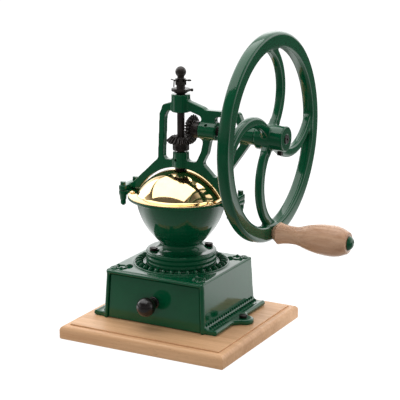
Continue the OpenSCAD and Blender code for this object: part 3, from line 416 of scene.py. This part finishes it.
tongues = leaf("plate_tongues", length=0.0148, width=0.0100, height=0.0054)
tongue_count, tongue_reach = 34, 0.0514
tongues = copies(tongues, [Matrix.Rotation(2 * math.pi * i / tongue_count, 4, "Z")
                           @ Matrix.Translation((tongue_reach, 0.0, ring_height)) for i in range(tongue_count)])
dress(tongues, enamel, "stand", "green_enamel")

ring_radius, ring_rib, inner_ring = 0.0576, 0.0011, (0.805, 0.805, 0.8)
bpy.ops.object.select_all(action="DESELECT")
bpy.ops.mesh.primitive_torus_add(major_radius=ring_radius, minor_radius=ring_rib, major_segments=112,
                                 minor_segments=12, location=(0.0, 0.0, ring_height))
rings = start_piece("plate_rings")
bpy.ops.object.mode_set(mode="EDIT")
bpy.ops.mesh.select_all(action="SELECT")
bpy.ops.mesh.duplicate()
bpy.ops.transform.resize(value=inner_ring, center_override=(0.0, 0.0, ring_height))
bpy.ops.object.mode_set(mode="OBJECT")
bpy.ops.object.shade_smooth()
dress(rings, enamel, "stand", "green_enamel")

# Each scroll is a round rib wound in four half turns, with a low button as its eye.
scroll_rib, scroll_back = 0.0012, 0.0045
bpy.ops.object.select_all(action="DESELECT")
bpy.ops.mesh.primitive_circle_add(vertices=12, radius=scroll_rib, fill_type="NGON",
                                  location=(0.0, 0.0, 0.0), rotation=(math.pi / 2, 0.0, 0.0))
scroll = start_piece("corner_scrolls")
bpy.ops.object.mode_set(mode="EDIT")
bpy.ops.mesh.select_all(action="SELECT")
turn_at = 0.0
for side, reach in ((1.0, 0.0058), (1.0, 0.0037), (-1.0, 0.0023), (1.0, 0.0013)):
    turn_at = turn_at + side * reach
    bpy.ops.mesh.spin(steps=10, angle=math.pi, center=(turn_at, 0.0, 0.0), axis=(0.0, 0.0, 1.0))
    turn_at = turn_at + side * reach
bpy.ops.mesh.select_all(action="SELECT")
bpy.ops.mesh.remove_doubles(threshold=1e-6)
bpy.ops.mesh.normals_make_consistent(inside=False)
bpy.ops.object.mode_set(mode="OBJECT")
bpy.ops.object.shade_smooth_by_angle(angle=math.radians(50))
corner_places = []
for corner, heading in (((0.0515, -0.0520), -45.0), ((-0.0515, -0.0520), -135.0),
                        ((0.0515, 0.0455), 45.0), ((-0.0515, 0.0455), 135.0)):
    base = Matrix.Translation((*corner, plate_height)) @ Matrix.Rotation(math.radians(heading), 4, "Z")
    corner_places.append(base)
scroll = copies(scroll, [base @ Matrix.Translation((-scroll_back, scroll_rib * side, 0.0))
                         @ Matrix.Scale(side, 4, (0, 1, 0)) for base in corner_places for side in (1.0, -1.0)])
dress(scroll, enamel, "stand", "green_enamel")
leaf_back = 0.0075
corner_leaves = leaf("corner_leaves", length=0.0150, width=0.0088, height=0.0036)
corner_leaves = copies(corner_leaves, [base @ Matrix.Translation((-leaf_back, 0.0, 0.0))
                                       for base in corner_places])
dress(corner_leaves, enamel, "stand", "green_enamel")

eye_forward, eye_aside = 0.0042, 0.0066
scroll_eyes = leaf("scroll_eyes", length=0.0078, width=0.0068, height=0.0030)
scroll_eyes = copies(scroll_eyes, [base @ Matrix.Translation((eye_forward, eye_aside * side, 0.0))
                                   for base in corner_places for side in (1.0, -1.0)])
dress(scroll_eyes, enamel, "stand", "green_enamel")

lip_middle, lip_size, lip_round = (0.0, -0.0684, 0.0764), (0.1290, 0.0042, 0.0036), 0.0017
bpy.ops.object.select_all(action="DESELECT")
bpy.ops.mesh.primitive_cube_add(size=1.0, location=lip_middle, scale=lip_size)
front_lip = start_piece("plate_front_lip")
break_edges(front_lip, lip_round, rounds=6, angle=35)
dress(front_lip, enamel, "stand", "green_enamel")

cove_x, cove_z = 0.0700, 0.0256
leaf_count, leaf_first, leaf_pitch, leaf_row, leaf_turn = 44, -0.0625, 0.0028, 0.0024, 28
flange_leaves = leaf("flange_leaves", length=0.0062, width=0.0030, height=0.0025)
flange_places = []
for side in (1.0, -1.0):
    for i in range(leaf_count):
        row = leaf_row if i % 2 else -leaf_row
        turn = leaf_turn if i % 2 else 180 - leaf_turn
        slope = Matrix.Translation((side * cove_x, leaf_first + leaf_pitch * i, cove_z))
        slope = slope @ Matrix.Rotation(side * math.radians(45), 4, "Y") @ Matrix.Translation((row, 0.0, 0.0))
        flange_places.append(slope @ Matrix.Rotation(math.radians(turn), 4, "Z"))
flange_leaves = copies(flange_leaves, flange_places)
dress(flange_leaves, enamel, "stand", "green_enamel")


# Housing screws: two slotted screws of turned steel, browned by oil. They go through the lugs
# into the board, and their heads stand on the lugs.
def metal(name, low, high, metallic, rough_low, rough_high, grain):
    """Bare metal with cloudy tone, uneven polish and a faint grain."""
    material, tree, surface = new_material(name)
    place = tree.nodes.new("ShaderNodeTexCoord")
    cloud = shader_node(tree, "ShaderNodeTexNoise", Scale=60.0, Detail=5.0, Roughness=0.65)
    tone = tones(tree, (0.32, low), (0.70, high))
    polish = shader_node(tree, "ShaderNodeMapRange", From_Min=0.3, From_Max=0.7,
                         To_Min=rough_low, To_Max=rough_high)
    pits = shader_node(tree, "ShaderNodeTexNoise", Scale=900.0, Detail=3.0)
    relief = shader_node(tree, "ShaderNodeBump", Strength=grain, Distance=0.0003)
    tree.links.new(place.outputs["Object"], cloud.inputs["Vector"])
    tree.links.new(place.outputs["Object"], pits.inputs["Vector"])
    tree.links.new(cloud.outputs["Fac"], tone.inputs["Fac"])
    tree.links.new(tone.outputs["Color"], surface.inputs["Base Color"])
    tree.links.new(cloud.outputs["Fac"], polish.inputs["Value"])
    tree.links.new(polish.outputs["Result"], surface.inputs["Roughness"])
    tree.links.new(pits.outputs["Fac"], relief.inputs["Height"])
    tree.links.new(relief.outputs["Normal"], surface.inputs["Normal"])
    surface.inputs["Metallic"].default_value = metallic
    return material


def machined(name, node, edge):
    """A copy of a node with its sharp edges broken, as a turned or milled piece has them."""
    piece = copy_node(name, node)
    bpy.ops.object.mode_set(mode="EDIT")
    bpy.ops.mesh.select_all(action="SELECT")
    bpy.ops.mesh.dissolve_limited(angle_limit=math.radians(1.0))
    break_edges(piece, edge, rounds=2, angle=35)
    return piece


dark_steel = metal("dark_steel", low=(0.020, 0.016, 0.014), high=(0.042, 0.036, 0.032), metallic=0.8,
                   rough_low=0.30, rough_high=0.44, grain=0.12)
dress(machined("housing_screw_pair", "housing_screws", 0.0005), dark_steel, "stand", "dark_steel",
      "housing_screws")


# Drawer: a cast front in the same enamel, screwed to a plain beech tray that slides on the board.
# Its edges are eased so that it runs in the mouth of the housing.
front_middle, front_size, front_edge = (0.0, -0.06515, 0.04584), (0.12632, 0.0050, 0.0544), 0.0012
front_lean, front_narrowing = math.radians(-2.85), 0.958
bpy.ops.object.select_all(action="DESELECT")
bpy.ops.mesh.primitive_cube_add(size=1.0, location=front_middle, rotation=(front_lean, 0.0, 0.0),
                                scale=front_size)
drawer_front = start_piece("drawer_front_plate")
pick_faces(drawer_front, lambda c, n: n.z > 0.9)
bpy.ops.transform.resize(value=(front_narrowing, 1.0, 1.0))
break_edges(drawer_front, front_edge, rounds=3, angle=35)
dress(drawer_front, enamel, "drawer", "green_enamel", "drawer_front")
tray_beech = beech("tray_beech", pale=(0.60, 0.41, 0.255), dark=(0.49, 0.32, 0.185),
                   fleck=(0.36, 0.22, 0.12), roughness=0.60, band_scale=60.0)
dress(machined("drawer_tray_box", "drawer_tray", 0.0006), tray_beech, "drawer", "tray_wood", "drawer_tray")


# Drawer knob: turned ball on a short waisted stem with a foot ring, blackened and polished by hands.
# A screw from inside the tray holds it.
def arc(start, end, radius, count):
    """Points on an arc from start to end; up the axis a positive radius swells, a negative one hollows."""
    start, end = Vector(start), Vector(end)
    chord = end - start
    rise = math.sqrt(radius * radius - chord.length_squared / 4)
    centre = (start + end) / 2 + math.copysign(rise, radius) * Vector((chord.y, -chord.x)).normalized()
    first = math.atan2(start.y - centre.y, start.x - centre.x)
    last = math.atan2(end.y - centre.y, end.x - centre.x)
    sweep = (last - first + 3 * math.pi) % (2 * math.pi) - math.pi
    return [(centre.x + abs(radius) * math.cos(first + sweep * i / count),
             centre.y + abs(radius) * math.sin(first + sweep * i / count)) for i in range(count + 1)]


def turned(name, foot, axis, outline, steps):
    """Spins an outline of (distance along the axis, radius) points round an axis that starts at foot."""
    axis = Vector(axis)
    side = Vector((0.0, 0.0, 1.0)) if abs(axis.z) < 0.5 else Vector((1.0, 0.0, 0.0))
    points = [Vector(foot) + axis * along + side * radius for along, radius in outline]
    bpy.ops.object.select_all(action="DESELECT")
    bpy.ops.mesh.primitive_plane_add(size=0.001, location=points[0])
    piece = start_piece(name)
    bpy.ops.object.mode_set(mode="EDIT")
    bpy.ops.mesh.select_mode(type="VERT")
    bpy.ops.mesh.select_all(action="SELECT")
    bpy.ops.mesh.merge(type="CENTER")
    for near, far in zip(points, points[1:]):
        bpy.ops.mesh.extrude_region_move(TRANSFORM_OT_translate={"value": far - near})
    bpy.ops.mesh.select_all(action="SELECT")
    bpy.ops.mesh.spin(steps=steps, angle=2 * math.pi, center=foot, axis=axis)
    bpy.ops.mesh.select_all(action="SELECT")
    bpy.ops.mesh.remove_doubles(threshold=1e-6)
    bpy.ops.mesh.normals_make_consistent(inside=False)
    bpy.ops.object.mode_set(mode="OBJECT")
    bpy.ops.object.shade_smooth_by_angle(angle=math.radians(35))
    return piece


knob_outline = [(-0.0006, 0.0), (-0.0006, 0.0072), (0.0016, 0.0074), (0.0022, 0.0070), (0.0026, 0.0060)]
knob_outline += arc((0.0026, 0.0056), (0.0110, 0.0076), -0.0075, 8)
knob_outline += arc((0.0110, 0.0080), (0.0195, 0.01145), 0.0105, 7)[1:]
knob_outline += arc((0.0195, 0.01145), (0.0305, 0.0), 0.0119, 12)[1:]
knob_foot = (0.0, -0.0676, 0.0465)
knob = turned("drawer_knob_ball", knob_foot, (0.0, -1.0, 0.0), knob_outline, steps=48)
black_polish = metal("black_polish", low=(0.0040, 0.0028, 0.0026), high=(0.0075, 0.0052, 0.0046), metallic=0.0,
                     rough_low=0.20, rough_high=0.30, grain=0.05)
dress(knob, black_polish, "drawer", "dark_iron", "drawer_knob")


# Bowl: cast in one with its bell-shaped foot, its rim and the four bolt bosses, and enamelled.
# Two slotted screws through the foot hold it on the top plate, over the steel burr ring.
bowl = cast_piece("bowl_casting", "bowl", skin_size=0.00098, rounds=3)
dress(bowl, enamel, "stand", "green_enamel", "bowl")
dress(machined("bowl_screw_pair", "bowl_screws", 0.0005), dark_steel, "stand", "dark_steel", "bowl_screws")


# Cover: sheet brass, spun to a dome with a hollow curve into its flat flange, and polished. The rear
# half is a door that turns inside the fixed front half; a dark collar holds both round the shaft.
brass = metal("polished_brass", low=(0.87, 0.61, 0.300), high=(0.93, 0.68, 0.355), metallic=1.0,
              rough_low=0.045, rough_high=0.10, grain=0.02)
rim_height, ball_height, ball_radius = 0.1640, 0.13243, 0.06307
sheet, seam, door_gap = 0.0012, 0.003, 0.0004
shaft_hole, door_hole, flange_edge = 0.0066, 0.0064, 0.0639


def cut_off(piece, place, normal):
    """Cuts a piece with a plane, drops the side that the normal points to and closes the cut."""
    bpy.ops.object.mode_set(mode="EDIT")
    bpy.ops.mesh.select_all(action="SELECT")
    bpy.ops.mesh.bisect(plane_co=place, plane_no=normal, use_fill=True, clear_outer=True)
    bpy.ops.object.mode_set(mode="OBJECT")


def dome_line(radius, top_radius, low_height, count):
    """Points down a ball from the hole at the top to a given height, as heights and radii."""
    first = math.asin(top_radius / radius)
    last = math.acos((low_height - ball_height) / radius)
    return [(ball_height + radius * math.cos(first + (last - first) * i / count),
             radius * math.sin(first + (last - first) * i / count)) for i in range(count + 1)]


flange_top = rim_height + sheet
outside = dome_line(ball_radius, shaft_hole, flange_top + 0.0022, 30)
hollow = arc(outside[-1], (flange_top, outside[-1][1] + 0.0032), 0.0042, 7)[1:]
edge = arc((flange_top, flange_edge), (rim_height, flange_edge), -0.0006001, 6)
inside = dome_line(ball_radius - sheet, shaft_hole, rim_height, 24)[::-1]
front_dome = turned("cover_front_brass", (0.0, 0.0, 0.0), (0.0, 0.0, 1.0),
                    outside + hollow + edge + inside + outside[:1], 128)
cut_off(front_dome, (0.0, seam, 0.0), (0.0, 1.0, 0.0))
inner_radius = inside[0][1]
rear_flange = turned("cover_rear_flange", (0.0, 0.0, 0.0), (0.0, 0.0, 1.0),
                     [(flange_top, inner_radius)] + edge
                     + [(rim_height, inner_radius), (flange_top, inner_radius)], 128)
cut_off(rear_flange, (0.0, seam, 0.0), (0.0, -1.0, 0.0))
bpy.ops.object.select_all(action="DESELECT")
rear_flange.select_set(True)
front_dome.select_set(True)
bpy.context.view_layer.objects.active = front_dome
bpy.ops.object.join()
bpy.ops.object.shade_smooth_by_angle(angle=math.radians(35))
dress(front_dome, brass, "stand", "brass", "cover_front")

door_radius = ball_radius - sheet - door_gap
door_low = flange_top + door_gap
outside = dome_line(door_radius, door_hole, door_low, 30)
inside = dome_line(door_radius - sheet, door_hole, door_low, 24)[::-1]
door = turned("cover_door_brass", (0.0, 0.0, 0.0), (0.0, 0.0, 1.0), outside + inside + outside[:1], 128)
cut_off(door, (0.0, -seam, 0.0), (0.0, -1.0, 0.0))
bpy.ops.object.shade_smooth_by_angle(angle=math.radians(35))
dress(door, brass, "door", "brass", "cover_door")
dress(machined("cover_door_button", "cover_door_knob", 0.0003), brass, "door", "brass", "cover_door_knob")
dress(machined("cover_screw_set", "cover_screws", 0.0002), brass, "stand", "brass", "cover_screws")


# Bridge: the casting over the cover that carries both shafts, bolted to the bowl at four bosses.
# It is enamelled like the bowl and has drilled oil holes in its bearings.
bridge = cast_piece("bridge_casting", "bridge", skin_size=0.00075, rounds=10)
axle_height, low_boss_height, oil_hole = 0.2465, 0.2079, 0.0019
bpy.ops.object.select_all(action="DESELECT")
bpy.ops.mesh.primitive_cylinder_add(vertices=24, radius=oil_hole, depth=0.008, location=(0.0, 0.0, 0.0))
drill = start_piece("oil_hole_drill")
oil_holes = [Matrix.Translation((x, 0.0, axle_height)) @ Matrix.Rotation(math.radians(45), 4, "X")
             @ Matrix.Translation((0.0, 0.0, 0.0105)) for x in (0.0375, 0.0915)]
oil_holes.append(Matrix.Translation((0.0, 0.0, low_boss_height)) @ Matrix.Rotation(math.radians(-15), 4, "Z")
                 @ Matrix.Translation((0.0, -0.0095, 0.0)) @ Matrix.Rotation(math.radians(90), 4, "X"))
drill = copies(drill, oil_holes)
bpy.ops.object.select_all(action="DESELECT")
bridge.select_set(True)
bpy.context.view_layer.objects.active = bridge
bored = bridge.modifiers.new("bored", "BOOLEAN")
bored.operation = "DIFFERENCE"
bored.object = drill
bpy.ops.object.modifier_apply(modifier=bored.name)
bpy.data.objects.remove(drill)
dress(bridge, enamel, "stand", "green_enamel", "bridge")
dress(machined("bridge_bolt_set", "bridge_bolts", 0.0004), enamel, "stand", "green_enamel", "bridge_bolts")
dress(machined("bridge_nut_set", "bridge_nuts", 0.0004), enamel, "stand", "green_enamel", "bridge_nuts")


# Upright shaft and its bevel gear: a turned steel shaft with a cast gear pinned to it, dark with oil.
# The burr cone hangs at its lower end.
dark_iron = metal("browned_iron", low=(0.013, 0.010, 0.009), high=(0.030, 0.023, 0.020), metallic=0.35,
                  rough_low=0.30, rough_high=0.46, grain=0.20)
gear_skin, gear_rounds = 0.00042, 3
dress(cast_piece("driven_gear_casting", "driven_gear", gear_skin, gear_rounds), dark_iron, "burr_shaft",
      "dark_iron", "driven_gear")
dress(machined("main_shaft_turned", "main_shaft", 0.0003), dark_iron, "burr_shaft", "dark_steel",
      "main_shaft")


# Adjuster: a disc with a peg on a threaded sleeve in the upper boss. The castle nut above it carries
# the shaft, locked by a split pin, and a turned ball ends the shaft.
dress(machined("adjusting_disc", "adjusting_sleeve", 0.0005), dark_iron, "adjuster", "dark_iron",
      "adjusting_sleeve")
dress(machined("castle_nut_milled", "castle_nut", 0.0005), dark_iron, "burr_shaft", "dark_iron",
      "castle_nut")
dress(machined("split_pin_wire", "split_pin", 0.0002), dark_iron, "burr_shaft", "dark_steel", "split_pin")
nut_top = 0.3052
ball_outline = [(0.00005, 0.0033), (0.00005, 0.0046), (0.0006, 0.0050), (0.0012, 0.0046)]
ball_outline += arc((0.0012, 0.0042), (0.0041, 0.0047), -0.0026, 6)
ball_outline += arc((0.0041, 0.0047), (0.0152, 0.0), 0.0066, 16)[1:]
finial = turned("finial_ball", (0.0, 0.0, nut_top), (0.0, 0.0, 1.0), ball_outline, steps=40)
dress(finial, dark_iron, "burr_shaft", "dark_iron", "finial")


# Flywheel: cast rim, four curved spokes and hub in one, enamelled. A set screw holds it on the
# steel wheel shaft, whose other end carries the second bevel gear.
flywheel = cast_piece("flywheel_casting", "flywheel", skin_size=0.00095, rounds=8)
wheel_plane, hub_reach, rim_inside = 0.118, 0.022, 0.1035
rim_rounds, rim_widening = 46, 1.10
rounded = flywheel.vertex_groups.new(name="rim_and_spokes")
rounded.add([p.index for p in flywheel.data.vertices
             if math.hypot(p.co.y, p.co.z - axle_height) > hub_reach], 1.0, "REPLACE")
flow = flywheel.modifiers.new("flow", "SMOOTH")
flow.vertex_group = rounded.name
flow.factor = 0.5
flow.iterations = rim_rounds
bpy.ops.object.modifier_apply(modifier=flow.name)
flywheel.vertex_groups.clear()
pick_edges(flywheel, lambda p: math.hypot(p.y, p.z - axle_height) > rim_inside)
bpy.ops.transform.resize(value=(rim_widening, 1.0, 1.0), center_override=(wheel_plane, 0.0, axle_height))
bpy.ops.object.mode_set(mode="OBJECT")
dress(flywheel, enamel, "wheel", "green_enamel", "flywheel")
dress(machined("drive_shaft_turned", "drive_shaft", 0.0005), dark_iron, "wheel", "dark_steel",
      "drive_shaft")
dress(cast_piece("drive_gear_casting", "drive_gear", gear_skin, gear_rounds), dark_iron, "wheel",
      "dark_iron", "drive_gear")
dress(machined("wheel_set_screw_head", "wheel_set_screw", 0.0004), dark_steel, "wheel", "dark_steel",
      "wheel_set_screw")


# Grip: turned from beech, with a flared collar, a waist and a full end, and satin from use. It turns
# on a bolt screwed into the rim, with a domed head in the colour of the wheel.
grip_start = (0.12530, 0.0, 0.13300)
grip_outline = [(0.0, 0.0041), (0.0, 0.0082), (0.0006, 0.0088), (0.0060, 0.0127), (0.0066, 0.0131)]
grip_outline += arc((0.0066, 0.0131), (0.0254, 0.0105), -0.0564, 10)[1:]
grip_outline += arc((0.0254, 0.0105), (0.0376, 0.0128), -0.0310, 8)[1:]
grip_outline += arc((0.0376, 0.0128), (0.0714, 0.0181), 0.1081, 12)[1:]
grip_outline += arc((0.0714, 0.0181), (0.0905, 0.0139), 0.0395, 10)[1:]
grip_outline += [(0.0926, 0.0130), (0.0934, 0.0125), (0.0939, 0.0117)]
grip_outline += [(0.0940, 0.0108), (0.0940, 0.0041)]
grip = turned("grip_beech_turned", grip_start, (1.0, 0.0, 0.0), grip_outline, steps=56)
grip_beech = beech("grip_beech", pale=(0.64, 0.400, 0.260), dark=(0.44, 0.235, 0.135),
                   fleck=(0.34, 0.18, 0.10), roughness=0.27, band_scale=130.0)
dress(grip, grip_beech, "grip", "grip_wood", "grip")
dress(machined("grip_bolt_turned", "grip_bolt", 0.0005), enamel, "wheel", "green_enamel", "grip_bolt")


# Pieces inside and behind, whose solids are right as they are: burrs of cast iron, and pins, washers,
# collar and hidden screws of turned steel.
for nodes, material in (
        (("burr_ring", "burr_cone"), dark_iron),
        (("drawer_screws", "drawer_knob_screw", "cover_collar", "driven_gear_pin", "drive_gear_pin",
          "burr_washer", "burr_nut", "thrust_washer"), dark_steel)):
    for name in nodes:
        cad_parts[name].data.materials.clear()
        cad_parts[name].data.materials.append(material)
